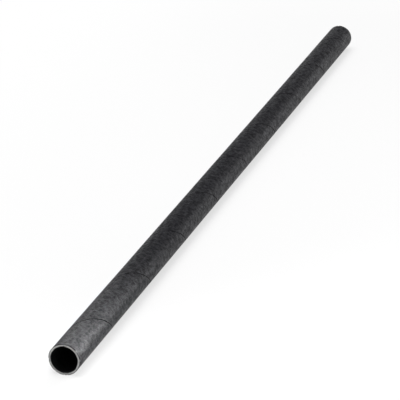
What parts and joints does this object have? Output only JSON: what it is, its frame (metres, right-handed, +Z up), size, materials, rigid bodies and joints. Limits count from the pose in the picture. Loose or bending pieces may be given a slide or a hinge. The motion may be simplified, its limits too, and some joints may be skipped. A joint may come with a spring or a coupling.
{
  "type": "paper drinking straw",
  "caption": "Straight black paper drinking straw: a spiral-wound tube with fine helical seams, an open bore and square-cut ends that show the pale paper of its wall.",
  "frame": {"origin": "under the middle of the straw's length, on the surface that it lies on", "axes": "+X along the straw, +Z up from the surface that it lies on"},
  "size_m": [0.197, 0.006, 0.006],
  "materials": {
    "black_paper": "matte black face on both sides, with the pale core of the paper bare at the cut ends"
  },
  "bodies": {
    "root": {"straw": "black_paper"}
  },
  "joints": []
}
